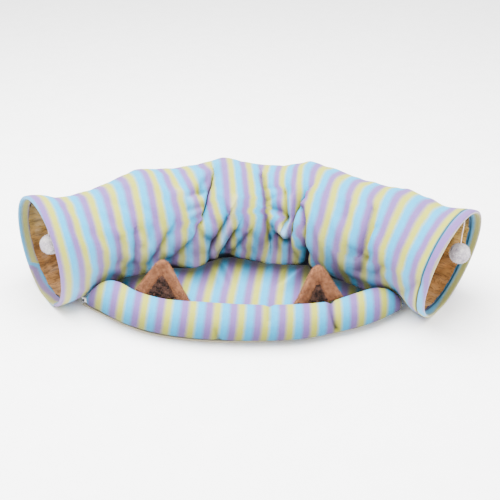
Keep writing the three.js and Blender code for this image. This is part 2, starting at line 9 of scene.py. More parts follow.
import bmesh
import bpy
import numpy as np
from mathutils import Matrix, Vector


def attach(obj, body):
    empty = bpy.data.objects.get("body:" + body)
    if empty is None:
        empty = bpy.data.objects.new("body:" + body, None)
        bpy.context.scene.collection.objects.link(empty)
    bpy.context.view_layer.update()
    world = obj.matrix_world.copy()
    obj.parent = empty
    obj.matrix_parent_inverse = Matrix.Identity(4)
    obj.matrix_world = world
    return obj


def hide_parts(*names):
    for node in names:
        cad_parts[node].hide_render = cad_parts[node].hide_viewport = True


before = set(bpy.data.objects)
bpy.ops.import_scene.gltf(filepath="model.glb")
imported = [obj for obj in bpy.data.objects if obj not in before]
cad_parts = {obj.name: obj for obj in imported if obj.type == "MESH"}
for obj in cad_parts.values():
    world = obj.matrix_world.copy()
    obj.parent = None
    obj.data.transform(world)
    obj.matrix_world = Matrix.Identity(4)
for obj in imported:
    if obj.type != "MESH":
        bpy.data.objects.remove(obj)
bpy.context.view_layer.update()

MM = 0.001
CM_IN_METRE = 100

# Camera: 30 degrees over the floor, straight at the front of the bed
CAMERA_AT = (0.0, -1.73205, 1.090)
CAMERA_LOOKS_AT = (0.0, 0.0, 0.090)
CAMERA_LENS = 63.36
CAMERA_SENSOR = 36.0

camera_data = bpy.data.cameras.new("camera")
camera_data.lens = CAMERA_LENS
camera_data.sensor_width = CAMERA_SENSOR
camera = bpy.data.objects.new("camera", camera_data)
bpy.context.collection.objects.link(camera)
camera.location = CAMERA_AT
looks = Vector(CAMERA_LOOKS_AT) - Vector(CAMERA_AT)
camera.rotation_euler = looks.to_track_quat("-Z", "Y").to_euler()
bpy.context.scene.camera = camera

# Hoops along the tube: centre in plan, lean of the top to the right mouth and turn across the tube
HOOPS = [
    dict(x=-462, y=-66.5, lean=0, turn=1.5),
    dict(x=-241, y=68.0, lean=0, turn=0),
    dict(x=-60, y=130.0, lean=0, turn=0),
    dict(x=126, y=111.0, lean=0, turn=0),
    dict(x=311, y=-27.0, lean=0, turn=0),
    dict(x=434, y=-122.0, lean=8.5, turn=1.3),
]
# Cover between one hoop and the next: how deep its top sags, and where along the span
SPANS = [
    dict(sag=25, at=0.48),
    dict(sag=13, at=0.55),
    dict(sag=18, at=0.55),
    dict(sag=11, at=0.50),
    dict(sag=13, at=0.68),
]
HOOP_RADIUS = 126.0  # radius of the cover's outside on a hoop
AXIS_HEIGHT = 123.0  # middle of the tube over the floor
SAG_SIDE = 105.0  # angle at which the cover sags most
RIM_STIFF = 70.0  # mm from a mouth over which the rim holds the cover out
HOOP_ROUND = 9.0  # mm either way of a hoop over which the cover is round
HOOP_HOLD = 0.5  # share of the sag that the hoop holds up there
HEM = 26.0  # mm of cloth turned into a mouth
HEM_THICKNESS = 8.0
RIM_ROUND = 4.0  # mm along the tube that the fold of the rim takes
STRIPE_REPEAT = 52.2  # mm of cloth from one purple stripe to the next
HEM_REPEAT = 44.0  # the same where the hem draws the cloth together
COVER_THICKNESS = 2.0

# Folds of the cover: points (s, a) from the top down, width, depth, and mm that a lip hangs over, if there
# is one. A negative depth is a ridge, and a negative lip hangs over to the left.
FOLDS = [
    dict(run=[(414, 82), (407, 69), (398, 60), (390, 50), (383, 40), (374, 31), (366, 25)],
         width=12, depth=28, lip=10),
    dict(run=[(388, 72), (370, 56)], width=9, depth=11, lip=3),
    dict(run=[(340, 50), (380, 57)], width=8, depth=10),
    dict(run=[(336, 34), (368, 36)], width=8, depth=9),
    dict(run=[(322, 56), (346, 45), (346, 30)], width=12, depth=-7),
    dict(run=[(341, 22), (364, -1), (378, -8)], width=13, depth=11),
    dict(run=[(440, 18), (408, 0), (396, -9), (380, -24), (380, -42)], width=13, depth=20, lip=6),
    dict(run=[(473, 38), (463, 25), (451, 13), (425, -3), (407, -21), (404, -38)],
         width=12, depth=-11),
    dict(run=[(464, 2), (436, -16), (418, -30)], width=10, depth=18, lip=5),
    dict(run=[(500, -4), (484, -14), (460, -28)], width=10, depth=12, lip=2),
    dict(run=[(536, 80), (546, 55), (554, 28), (557, 13), (568, -10)], width=13, depth=18, lip=5),
    dict(run=[(548, 62), (574, 58)], width=8, depth=6),
    dict(run=[(556, 42), (584, 47)], width=8, depth=6),
    dict(run=[(572, 31), (600, 28), (623, 21)], width=9, depth=17, lip=4),
    dict(run=[(604, 52), (616, 36), (622, 23), (615, 14)], width=9, depth=14, lip=3),
    dict(run=[(624, 44), (636, 12)], width=9, depth=-9),
    dict(run=[(674, 50), (660, 31), (657, 19), (660, 8)], width=11, depth=26, lip=-10),
    dict(run=[(625, 3), (609, 6)], width=15, depth=-18),
    dict(run=[(598, -3), (614, -7), (632, -6)], width=9, depth=19),
    dict(run=[(578, 6), (597, -18)], width=10, depth=11),
    dict(run=[(640, 0), (648, -28)], width=9, depth=10),
    dict(run=[(684, 36), (702, 24), (712, 10), (716, -8), (708, -34)], width=9, depth=15, lip=-4),
    dict(run=[(716, -16), (709, -36)], width=9, depth=26),
    dict(run=[(851, 60), (856, 48), (859, 37), (857, 23), (853, 10)], width=8, depth=12, lip=4),
    dict(run=[(872, 42), (870, 28), (864, 17), (857, 8)], width=7, depth=9, lip=-2),
    dict(run=[(838, 12), (839, 4)], width=7, depth=8),
    dict(run=[(876, 14), (872, 6)], width=7, depth=9),
    dict(run=[(868, 6), (858, -12)], width=11, depth=13),
    dict(run=[(908, 4), (893, -10)], width=12, depth=12),
    dict(run=[(785, 57), (795, 51), (800, 44)], width=12, depth=8),
    dict(run=[(190, 20), (180, -20)], width=12, depth=13, lip=2),
    dict(run=[(152, 18), (146, -14)], width=11, depth=9),
    dict(run=[(272, 12), (218, -24)], width=12, depth=14, lip=2),
    dict(run=[(318, -6), (274, -28)], width=12, depth=13, lip=2),
    dict(run=[(236, 22), (208, 2)], width=10, depth=6),
    dict(run=[(996, 2), (962, -26)], width=11, depth=9),
]
FOLD_SOFT = 0.6  # how round the bottom of a fold is
FOLD_STEEP = 0.35  # how much steeper a fold is on the side of its lip
LIP_AT = 0.8  # widths of a fold from its line to its lip
# Painted shade along the line of a fold: depth at which it is fully dark, how fast it pales in shallower
# folds, the lip that hides its light, and the line's width and strength under such a lip and in an open
# fold
FOLD_SHADE_LINE = dict(depth=24, power=1.5, lip=7, under_lip=(4.0, 1.0), open=(9.0, 0.8))
RIDGE_HIGHLIGHT = dict(height=18, most=0.22)  # height of a ridge at which its painted highlight is full, and how pale it makes it
FOLD_FADE = dict(start=10, end=36, loss=0.6)  # degrees below the side where folds die out against the mat

# Places where the cover is pressed in, by the roll's ends and where it is drawn up over the mat. A
# negative depth is a lip that hangs over the mat.
PRESSES = [
    dict(s=122, a=-42, along=55, around=40, depth=18),
    dict(s=924, a=-44, along=46, around=42, depth=31),
    dict(s=174, a=-28, along=26, around=12, depth=9),
    dict(s=268, a=-30, along=26, around=16, depth=14),
    dict(s=436, a=-34, along=30, around=14, depth=13),
    dict(s=842, a=-33, along=34, around=13, depth=12),
    dict(s=345, a=-33, along=38, around=9, depth=-16),
    dict(s=585, a=-33, along=75, around=9, depth=-19),
]
# Slow unevenness of the cover: mm from wave to wave along and round the tube, depth, and start of the wave
WAVES = [
    dict(along=83, round=61, depth=0.9, start=0.4),
    dict(along=47, round=97, depth=0.7, start=2.1),
    dict(along=31, round=43, depth=0.4, start=4.0),
]
CASING_SEAM = dict(inside=19, width=1.8, depth=3.5)  # seam that holds the right hoop
# Painted shade in the groove of the casing seam: its width and strength
SEAM_SHADE = dict(width=2.0, most=0.85)
# Painted shade on parts of the cover that lie away from the light: place, size along and round the tube,
# and how dark
DIM = [
    dict(s=850, a=-14, along=110, around=26, most=0.5),
    dict(s=570, a=-16, along=130, around=26, most=0.45),
    dict(s=345, a=-18, along=70, around=20, most=0.2),
]
# Painted shade where the cover meets the mat: degrees below its side and stations where it comes and goes
BESIDE_MAT = {"below": (31, 38), "above": (80, 66), "from": (190, 240), "to": (840, 760)}


def smoothstep(x, low, high):
    t = np.clip((np.asarray(x, float) - low) / (high - low), 0, 1)
    return t * t * (3 - 2 * t)


def bell(x, width):
    """Soft hump of height 1 round zero."""
    return np.exp(-(x / width) ** 2)


def smooth_curve(points, t):
    """Places and directions on a smooth curve through the given points, which t counts from 0."""
    p = np.asarray(points, float)
    p = np.vstack([2 * p[0] - p[1], p, 2 * p[-1] - p[-2]])
    i = np.clip(np.floor(t).astype(int), 0, len(points) - 2)
    f = (np.asarray(t, float) - i)[..., None]
    a, b, c, d = (p[i + k] for k in range(4))
    g0, g1, g2 = (np.linalg.norm(n - m, axis=-1, keepdims=True) for m, n in ((a, b), (b, c), (c, d)))
    start = ((b - a) / g0 - (c - a) / (g0 + g1) + (c - b) / g1) * g1
    end = ((c - b) / g1 - (d - b) / (g1 + g2) + (d - c) / g2) * g1
    square = -3 * b + 3 * c - 2 * start - end
    cube = 2 * b - 2 * c + start + end
    point = b + f * (start + f * (square + f * cube))
    slope = start + f * (2 * square + f * 3 * cube)
    return point, slope / np.linalg.norm(slope, axis=-1, keepdims=True)


HOOP_PLACES = np.array([(h["x"], h["y"]) for h in HOOPS])
HOOP_AT = np.concatenate([[0], np.cumsum(np.linalg.norm(np.diff(HOOP_PLACES, axis=0), axis=1))])
TUBE_LENGTH = HOOP_AT[-1]
SEAM_AT = TUBE_LENGTH - CASING_SEAM["inside"]
ROUND_MM = math.radians(1) * HOOP_RADIUS  # mm round the tube for a degree


def span_at(s):
    """Span that a station lies in, and how far along it."""
    i = np.clip(np.searchsorted(HOOP_AT, s, side="right") - 1, 0, len(SPANS) - 1)
    return i, (s - HOOP_AT[i]) / (HOOP_AT[i + 1] - HOOP_AT[i])


def from_fold(fold, s, a):
    """How many mm stations and angles are away from the line of a fold, and on which side, 1 for right."""
    best = np.full(s.shape, np.inf)
    side = np.zeros(s.shape)
    for (s0, a0), (s1, a1) in zip(fold["run"], fold["run"][1:]):
        ds, dg = s1 - s0, (a1 - a0) * ROUND_MM
        es, eg = s - s0, (a - a0) * ROUND_MM
        part = np.clip((es * ds + eg * dg) / (ds * ds + dg * dg), 0, 1)
        es, eg = es - part * ds, eg - part * dg
        away = np.hypot(es, eg)
        nearer = away < best
        side = np.where(nearer, np.sign(es * -dg + eg * ds), side)
        best = np.where(nearer, away, best)
    return best, side


def fold_shape(fold, s, a):
    """How far a fold draws the cover in, and how far its lip hangs along the tube."""
    best, side = from_fold(fold, s, a)
    width, lip = fold["width"], fold.get("lip", 0)
    away = best / (width * (1 + FOLD_STEEP * np.sign(lip) * side))
    drawn = fold["depth"] * np.exp(-away * away / (FOLD_SOFT + away))
    return drawn, lip * bell(side * best + LIP_AT * np.sign(lip) * width, width)


def painted_fold_shade(fold, s, a):
    """How much painted shade lies along the line of a fold."""
    best, _ = from_fold(fold, s, a)
    width, strength = FOLD_SHADE_LINE["under_lip" if abs(fold.get("lip", 0)) >= FOLD_SHADE_LINE["lip"] else "open"]
    deep = (max(fold["depth"], 0) / FOLD_SHADE_LINE["depth"]) ** FOLD_SHADE_LINE["power"]
    return strength * deep * bell(best, width)


def painted_ridge_highlight(fold, s, a):
    """How pale the painted highlight on the back of a ridge is."""
    best, _ = from_fold(fold, s, a)
    high = min(max(-fold["depth"], 0) / RIDGE_HIGHLIGHT["height"], 1)
    return RIDGE_HIGHLIGHT["most"] * high * bell(best, fold["width"])


def patch(part, s, a):
    """How near stations and angles are to the middle of a round patch of the cover, from 0 to 1."""
    return bell(s - part["s"], part["along"]) * bell(a - part["a"], part["around"])


def cover_shape(s, a):
    """Radius of the cover's outside, and how far the lips of its folds shift it along the tube."""
    a = np.where(a > 180, a - 360, a)
    i, part = span_at(s)
    sag = np.array([p["sag"] for p in SPANS])[i]
    skew = (math.log(0.5) / np.log([p["at"] for p in SPANS]))[i]
    from_hoop = np.abs(s[..., None] - HOOP_AT[1:-1]).min(axis=-1)
    dip = np.sin(np.pi * np.clip(part, 0, 1) ** skew) * (1 - HOOP_HOLD * bell(from_hoop, HOOP_ROUND))
    loose = smoothstep(np.minimum(s, TUBE_LENGTH - s), 0, RIM_STIFF)
    drawn = sag * dip * loose * (0.5 + 0.5 * np.cos(np.radians(a - SAG_SIDE)))
    shift = np.zeros(s.shape)
    free = 1 - FOLD_FADE["loss"] * smoothstep(-a, FOLD_FADE["start"], FOLD_FADE["end"])
    for fold in FOLDS:
        inward, lip = fold_shape(fold, s, a)
        drawn = drawn + inward * free
        shift = shift + lip * free
    for press in PRESSES:
        drawn = drawn + press["depth"] * patch(press, s, a)
    for wave in WAVES:
        ripple = np.sin(2 * np.pi * (s / wave["along"] + a * ROUND_MM / wave["round"]) + wave["start"])
        drawn = drawn + wave["depth"] * loose * ripple
    drawn = drawn + CASING_SEAM["depth"] * bell(s - SEAM_AT, CASING_SEAM["width"])
    return HOOP_RADIUS - drawn, shift


def tube_points(s, a, radius, floor):
    """Points of the tube in mm at stations, angles and radii, none lower than the given height."""
    i, part = span_at(s)
    middle, along = smooth_curve(HOOP_PLACES, np.clip(i + part, 0, len(SPANS)))
    beyond = s - np.clip(s, 0, TUBE_LENGTH)
    lean, turn = (
        np.tan(np.radians(np.interp(s, HOOP_AT, [h[k] for h in HOOPS]))) for k in ("lean", "turn"))
    out = radius * np.cos(np.radians(a))
    z = np.maximum(AXIS_HEIGHT + radius * np.sin(np.radians(a)), floor)
    slide = beyond + lean * (z - AXIS_HEIGHT) + turn * out
    x = middle[..., 0] + along[..., 1] * out + along[..., 0] * slide
    y = middle[..., 1] - along[..., 0] * out + along[..., 1] * slide
    return np.stack([x, y, z], axis=-1)


def cover_shade(s, a):
    """How much painted shade the cover gets: in its folds, along the casing seam, beside the mat and where
    it lies away from the light.
    """
    a = np.where(a > 180, a - 360, a)
    lines = sum(painted_fold_shade(fold, s, a) for fold in FOLDS)
    seam = SEAM_SHADE["most"] * bell(s - SEAM_AT, SEAM_SHADE["width"])
    beside = smoothstep(-a, *BESIDE_MAT["below"]) * smoothstep(-a, *BESIDE_MAT["above"])
    beside = beside * smoothstep(s, *BESIDE_MAT["from"]) * smoothstep(s, *BESIDE_MAT["to"])
    dim = sum(part["most"] * patch(part, s, a) for part in DIM)
    return np.clip(lines + seam + beside + dim, 0, 1)


# Colours and finishes
def linear(colour):
    """Linear colour of an sRGB hex value."""
    parts = [int(colour[k:k + 2], 16) / 255 for k in (1, 3, 5)]
    return tuple(c / 12.92 if c <= 0.04045 else ((c + 0.055) / 1.055) ** 2.4 for c in parts) + (1.0,)


PURPLE = linear("#664f86")
YELLOW = linear("#949538")
BLUE = linear("#0c8cb8")
# Pale tint of painted highlights and of the greyer painted light low on the cover and in the hems
PAINTED_LIGHT_TINT = linear("#d9cbd6")
STRIPE_EDGES = (0.170, 0.490, 0.830)  # parts of a repeat at which purple, yellow and blue end
STRIPE_SOFT = 0.085  # part of a repeat, either way of an edge, over which its colours blend
STRIPE_RAGGED = 0.10  # part of a repeat by which the pile blurs the edge
IN_SHADE = 0.06  # share of the colour that is left where the painted shade is full

LINING_UNIT = 300.0  # mm along the tube to a unit of the lining's cloth
LINING_STREAKS = (7.0, 44.0, 1.0)  # streaks to a unit along, and to the girth: about 43 by 18 mm each
LINING_CREASES = (9.0, 95.0, 1.0)  # fine creases, counted in the same way: about 33 by 8 mm each
CREASE_SHARP = 14.0
LINING_LIGHT_TO_RIGHT = dict(by=0.28, most=1.55)  # painted light, stronger to the right: how fast it grows, and how far
# Colours of the lining round the tube, gold with painted light and shade in them, darkest inside the top,
# by the part of its girth from below the bed side over the top
LINING_TONES_WITH_SHADE = [
    (0.00, "#94724e"), (0.25, "#806838"), (0.43, "#38301a"), (0.55, "#4c4224"),
    (0.66, "#866a34"), (0.75, "#744e26"), (0.86, "#8a6238"), (1.00, "#94724e"),
]
# Grain of the striped plush, size in mm and detail: the ragged edges of its bands, brushed patches, and
# tufts, pile and lumps. Its hairs are too fine to show, so they are drawn as coarse as tufts.
STRIPED_GRAIN = dict(edges=(3.0, 4), patches=(14.0, 3), tufts=(2.2, 3), pile=(1.8, 3), lumps=(7.0, 2))
PILE_PATCHES = 5  # soft patches of a plush are this many times as wide as its tufts
THREAD_GRAIN = 0.9  # mm, twice as coarse as the real threads, which are too fine to show
ZIP_GRAIN = 2.0  # mm from tone to tone on the hard parts of the zip


def add(tree, kind, links=None, stops=(), **settings):
    """Adds a node: settings by name, links or values of its sockets by name or number, and a ramp's stops.

    Where a link is given a node, it starts at the node's first output.
    """
    made = tree.nodes.new(kind)
    for name, value in settings.items():
        setattr(made, name, value)
    for _ in stops[2:]:
        made.color_ramp.elements.new(0.5)
    if stops:
        for element, (place, colour) in zip(made.color_ramp.elements, stops):
            element.position = place
            element.color = colour
    for socket, value in (links or {}).items():
        if isinstance(value, bpy.types.Node):
            value = value.outputs[0]
        if isinstance(value, bpy.types.NodeSocket):
            tree.links.new(value, made.inputs[socket])
        else:
            made.inputs[socket].default_value = value
    return made


def new_material(name):
    material = bpy.data.materials.new(name)
    material.use_nodes = True
    material.node_tree.nodes.clear()
    return material, material.node_tree


def tinted(tree, colour, factor, low, high):
    """Colour made darker or lighter by a factor from low to high."""
    span = add(tree, "ShaderNodeMapRange", {"Value": factor, "To Min": low, "To Max": high})
    return add(tree, "ShaderNodeVectorMath", {0: colour, "Scale": span}, operation="SCALE")


def striped_plush():
    """Polyester plush with a short brushed pile, dyed in bands of lavender, pale yellow and sky blue.

    The pile blurs the edges of the bands, mottles them and takes nearly all shine.
    """
    material, tree = new_material("striped_plush")
    place = add(tree, "ShaderNodeTexCoord").outputs["Object"]
    grain = {
        name: add(tree, "ShaderNodeTexNoise", {"Vector": place, "Scale": 1 / (size * MM), "Detail": detail})
        for name, (size, detail) in STRIPED_GRAIN.items()}
    cloth = add(tree, "ShaderNodeUVMap", uv_map="cloth")
    number = add(tree, "ShaderNodeSeparateXYZ", {"Vector": cloth})
    uneven = add(tree, "ShaderNodeMath", {0: grain["edges"], 1: 0.5}, operation="SUBTRACT")
    ragged = add(tree, "ShaderNodeMath", {0: uneven, 1: STRIPE_RAGGED}, operation="MULTIPLY")
    moved = add(tree, "ShaderNodeMath", {0: number, 1: ragged}, operation="ADD")
    part = add(tree, "ShaderNodeMath", {0: moved}, operation="FRACT")
    bands = [(0.0, PURPLE)]
    for edge, before, after in zip(STRIPE_EDGES, (PURPLE, YELLOW, BLUE), (YELLOW, BLUE, PURPLE)):
        bands += [(edge - STRIPE_SOFT, before), (edge + STRIPE_SOFT, after)]
    colour = add(tree, "ShaderNodeValToRGB", {"Fac": part}, stops=bands + [(1.0, PURPLE)])
    # Painted highlights and painted paler light from the mesh, then painted shade
    worn = add(tree, "ShaderNodeAttribute", attribute_name="worn").outputs["Fac"]
    colour = add(tree, "ShaderNodeMix", {0: worn, 6: colour, 7: PAINTED_LIGHT_TINT}, data_type="RGBA").outputs[2]
    shade = add(tree, "ShaderNodeAttribute", attribute_name="shade").outputs["Fac"]
    colour = tinted(tree, colour, shade, low=1.0, high=IN_SHADE)
    colour = tinted(tree, colour, grain["patches"], low=0.92, high=1.08)
    colour = tinted(tree, colour, grain["tufts"], low=0.86, high=1.14)
    pile = add(tree, "ShaderNodeMath", {0: grain["pile"], 1: grain["lumps"]}, operation="ADD")
    normal = add(tree, "ShaderNodeBump", {"Height": pile, "Distance": 0.9 * MM, "Strength": 0.6})
    shader = add(tree, "ShaderNodeBsdfPrincipled", {
        "Base Color": colour, "Roughness": 0.95, "Specular IOR Level": 0.1, "Sheen Weight": 0.06,
        "Sheen Roughness": 0.5, "Normal": normal})
    add(tree, "ShaderNodeOutputMaterial", {"Surface": shader})
    return material


def crinkled_lining():
    """Gold crinkle cloth, a thin woven polyester on foil with a dull shine: painted light and shade in soft
    streaks, and painted shade in its fine creases.
    """
    material, tree = new_material("crinkle_lining")
    cloth = add(tree, "ShaderNodeUVMap", uv_map="cloth")
    place = add(tree, "ShaderNodeSeparateXYZ", {"Vector": cloth}).outputs
    tones = [(part, linear(tone)) for part, tone in LINING_TONES_WITH_SHADE]
    colour = add(tree, "ShaderNodeValToRGB", {"Fac": place["Y"]}, stops=tones)
    # Painted light, stronger towards the right mouth
    along = add(tree, "ShaderNodeMath", {0: place["X"], 1: LINING_LIGHT_TO_RIGHT["by"]}, operation="MULTIPLY")
    colour = tinted(tree, colour, along, low=1.0, high=LINING_LIGHT_TO_RIGHT["most"])
    drawn = add(tree, "ShaderNodeMapping", {"Vector": cloth, "Scale": LINING_STREAKS})
    streaks = add(tree, "ShaderNodeTexNoise", {
        "Vector": drawn, "Scale": 1.0, "Detail": 3.0, "Roughness": 0.55, "Distortion": 0.8})
    # Painted light and shade of soft folds, in streaks
    colour = tinted(tree, colour, streaks, low=0.3, high=1.7)
    drawn = add(tree, "ShaderNodeMapping", {"Vector": cloth, "Scale": LINING_CREASES})
    creases = add(tree, "ShaderNodeTexNoise", {
        "Vector": drawn, "Scale": 1.0, "Detail": 2.0, "Roughness": 0.5, "Distortion": 1.4})
    # Painted shade in the fine creases
    off_line = add(tree, "ShaderNodeMath", {0: creases, 1: 0.5}, operation="SUBTRACT")
    off_line = add(tree, "ShaderNodeMath", {0: off_line}, operation="ABSOLUTE")
    off_line = add(tree, "ShaderNodeMath", {0: off_line, 1: CREASE_SHARP}, operation="MULTIPLY")
    colour = tinted(tree, colour, off_line, low=0.45, high=1.05)
    normal = add(tree, "ShaderNodeBump", {"Height": streaks, "Distance": 3.0 * MM, "Strength": 0.7})
    shader = add(tree, "ShaderNodeBsdfPrincipled", {
        "Base Color": colour, "Roughness": 0.45, "Specular IOR Level": 0.4, "Sheen Weight": 0.1,
        "Normal": normal})
    add(tree, "ShaderNodeOutputMaterial", {"Surface": shader})
    return material


def pile_plush(name, dark, light, tuft, blend=0.15):
    """Polyester plush in tufts of a size in mm: darker at its roots, lighter at its tips, and no shine."""
    material, tree = new_material(name)
    place = add(tree, "ShaderNodeTexCoord").outputs["Object"]
    tufts = add(tree, "ShaderNodeTexNoise", {"Vector": place, "Scale": 1 / (tuft * MM), "Detail": 3})
    patches = add(tree, "ShaderNodeTexNoise", {
        "Vector": place, "Scale": 1 / (PILE_PATCHES * tuft * MM), "Detail": 2})
    both = add(tree, "ShaderNodeMath", {0: tufts, 1: patches}, operation="ADD")
    pile = add(tree, "ShaderNodeMath", {0: both, 1: 0.5}, operation="MULTIPLY")
    tones = [(0.5 - blend, linear(dark)), (0.5 + blend, linear(light))]
    colour = add(tree, "ShaderNodeValToRGB", {"Fac": pile}, stops=tones)
    normal = add(tree, "ShaderNodeBump", {"Height": pile, "Distance": 0.6 * MM, "Strength": 0.5})
    shader = add(tree, "ShaderNodeBsdfPrincipled", {
        "Base Color": colour, "Roughness": 0.9, "Specular IOR Level": 0.08, "Sheen Weight": 0.05,
        "Sheen Roughness": 0.5, "Normal": normal})
    add(tree, "ShaderNodeOutputMaterial", {"Surface": shader})
    return material


def woven(name, dark, light):
    """Close plain weave of polyester yarn: a fine even grain with threads in two tones, and no shine."""
    material, tree = new_material(name)
    place = add(tree, "ShaderNodeTexCoord").outputs["Object"]
    threads = add(tree, "ShaderNodeTexNoise", {
        "Vector": place, "Scale": 1 / (THREAD_GRAIN * MM), "Detail": 2, "Roughness": 0.6})
    tones = [(0.35, linear(dark)), (0.65, linear(light))]
    colour = add(tree, "ShaderNodeValToRGB", {"Fac": threads}, stops=tones)
    normal = add(tree, "ShaderNodeBump", {"Height": threads, "Distance": 0.4 * MM, "Strength": 0.6})
    shader = add(tree, "ShaderNodeBsdfPrincipled", {
        "Base Color": colour, "Roughness": 0.9, "Specular IOR Level": 0.2, "Normal": normal})
    add(tree, "ShaderNodeOutputMaterial", {"Surface": shader})
    return material


def zip_part(name, dark, light, metallic, roughness):
    """Small hard zip part, moulded plastic or cast metal: a soft gleam, a little uneven in tone."""
    material, tree = new_material(name)
    place = add(tree, "ShaderNodeTexCoord").outputs["Object"]
    uneven = add(tree, "ShaderNodeTexNoise", {
        "Vector": place, "Scale": 1 / (ZIP_GRAIN * MM), "Detail": 3})
    tones = [(0.3, linear(dark)), (0.7, linear(light))]
    colour = add(tree, "ShaderNodeValToRGB", {"Fac": uneven}, stops=tones)
    normal = add(tree, "ShaderNodeBump", {"Height": uneven, "Distance": 0.1 * MM, "Strength": 0.4})
    shader = add(tree, "ShaderNodeBsdfPrincipled", {
        "Base Color": colour, "Metallic": metallic, "Roughness": roughness, "Normal": normal})
    add(tree, "ShaderNodeOutputMaterial", {"Surface": shader})
    return material


STRIPED = striped_plush()
LINING = crinkled_lining()
WHITE_PLUSH = pile_plush("white_plush", "#9c92a0", "#e8e3e2", tuft=3.0)
TAN_PLUSH = pile_plush("tan_plush", "#593826", "#8f6043", tuft=2.2)
DARK_PLUSH = pile_plush("dark_curly_plush", "#030101", "#473129", tuft=2.2, blend=0.06)
YARN = woven("cord_yarn", "#b59a94", "#dccac4")
PANEL_CLOTH = woven("panel_cloth", "#9a917c", "#b5ab94")
TAPE_CLOTH = woven("zip_tape_cloth", "#dfe0e6", "#f7f7fa")
ZIP_PLASTIC = zip_part("zip_plastic", "#1e1d24", "#3a3942", metallic=0.0, roughness=0.45)
ZIP_METAL = zip_part("zip_metal", "#a9acb0", "#d0d3d6", metallic=1.0, roughness=0.32)


# Meshes
ONE_POINT = 0.01  # mm within which points of a mesh are joined


def place_piece(name, data, material, node):
    """Makes a mesh or a curve the piece that stands for a CAD node."""
    data.name = name
    piece = bpy.data.objects.new(name, data)
    bpy.context.collection.objects.link(piece)
    data.materials.clear()
    data.materials.append(material)
    if isinstance(data, bpy.types.Mesh):
        data.shade_smooth()
    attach(piece, "root")
    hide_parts(node)
    return piece


def mesh_of(name, bm):
    mesh = bpy.data.meshes.new(name)
    bm.to_mesh(mesh)
    bm.free()
    return mesh


def points_of(mesh, what="co"):
    """Points of a mesh, or their normals."""
    flat = np.empty(3 * len(mesh.vertices))
    mesh.vertices.foreach_get(what, flat)
    return flat.reshape(-1, 3)


def set_points(mesh, points):
    mesh.vertices.foreach_set("co", np.ascontiguousarray(points, float).ravel())
    mesh.update()


def set_cloth(mesh, per_vertex):
    """Lays the cloth's own coordinates, stripe number and repeats across, on a mesh as its UV map."""
    corners = np.empty(len(mesh.loops), int)
    mesh.loops.foreach_get("vertex_index", corners)
    layer = mesh.uv_layers.new(name="cloth")
    layer.uv.foreach_set("vector", np.ascontiguousarray(per_vertex[corners], float).ravel())


def baked(piece):
    """Applies a piece's modifiers to its mesh."""
    graph = bpy.context.evaluated_depsgraph_get()
    mesh = bpy.data.meshes.new_from_object(piece.evaluated_get(graph))
    piece.modifiers.clear()
    piece.data = mesh
    return piece


def set_values(mesh, name, values):
    """Gives each point of a mesh a number that a material reads."""
    layer = mesh.attributes.new(name, "FLOAT", "POINT")
    layer.data.foreach_set("value", np.ascontiguousarray(values, float))


def tube_mesh(name, points, cloth, **values):
    """Tube from rows of points: a grid moved to them and closed along its seam, facing out."""
    rows, columns = points.shape[:2]
    bm = bmesh.new()
    bmesh.ops.create_grid(bm, x_segments=rows - 1, y_segments=columns - 1, size=1)
    mesh = mesh_of(name, bm)
    at = points_of(mesh)
    row = np.rint((at[:, 0] + 1) / 2 * (rows - 1)).astype(int)
    column = np.rint((at[:, 1] + 1) / 2 * (columns - 1)).astype(int)
    set_points(mesh, points[row, column] * MM)
    set_cloth(mesh, cloth[row, column])
    for key, value in values.items():
        set_values(mesh, key, value[row, column])
    bm = bmesh.new()
    bm.from_mesh(mesh)
    bmesh.ops.remove_doubles(bm, verts=bm.verts, dist=ONE_POINT * MM)
    bmesh.ops.recalc_face_normals(bm, faces=bm.faces)
    top = max(bm.faces, key=lambda face: face.calc_center_median().z)
    if top.normal.z < 0:
        bmesh.ops.reverse_faces(bm, faces=bm.faces)
    bm.to_mesh(mesh)
    bm.free()
    return mesh


# Cords that the balls hang on: a yarn from the hem's inside, on top, down to the ball
CORD_DIAMETER = 2.4
CORD_GAP = 0.8  # mm from the hem to the cord's end
CORD_IN_BALL = 3.0  # mm of the cord in the ball's pile
BALL_RADIUS = 24.0
BALL_CORE = 20.5  # radius under the pile
# Lumps of the core: share of its radius, and radians to a metre along X, Y and Z with their starts
BALL_LUMPS = dict(size=0.03, waves=(260, 310, 280), starts=(0, 1, 2))
# Where each cord leaves the hem, and the height of its ball's middle
BALLS = [
    dict(side="left", station=22.0, angle=82.0, z=144.0),
    dict(side="right", station=TUBE_LENGTH - 12.0, angle=98.0, z=146.0),
]
CORD_ROUTE = [(0.0, 0.0), (0.35, 0.8), (0.7, -0.5), (1.0, 0.0)]  # part of the way down, mm of sway


def hung_from(ball):
    """Place on the hem's inside that a ball hangs from."""
    s, a = np.array([ball["station"]]), np.array([ball["angle"]])
    radius, _ = cover_shape(s, a)
    return tube_points(s, a, radius - HEM_THICKNESS, 0)[0]


def ball_cord(ball):
    """Cord of a ball, the point where it leaves the hem, and its length."""
    top = hung_from(ball)
    low = ball["z"] + BALL_RADIUS - CORD_IN_BALL
    high = top[2] - CORD_GAP
    name = f"pompom_cord_{ball['side']}"
    line = bpy.data.curves.new(name, "CURVE")
    line.dimensions = "3D"
    line.bevel_depth = CORD_DIAMETER / 2 * MM
    line.bevel_resolution = 3
    line.resolution_u = 8
    line.use_fill_caps = True
    spline = line.splines.new("BEZIER")
    spline.bezier_points.add(len(CORD_ROUTE) - 1)
    for point, (part, sway) in zip(spline.bezier_points, CORD_ROUTE):
        point.co = Vector((top[0] + sway, top[1], high + part * (low - high))) * MM
        point.handle_left_type = point.handle_right_type = "AUTO"
    cord = place_piece(name, line, YARN, f"ball_cord_{ball['side']}")
    return cord, Vector((top[0], top[1], high)) * MM, (high - low) * MM


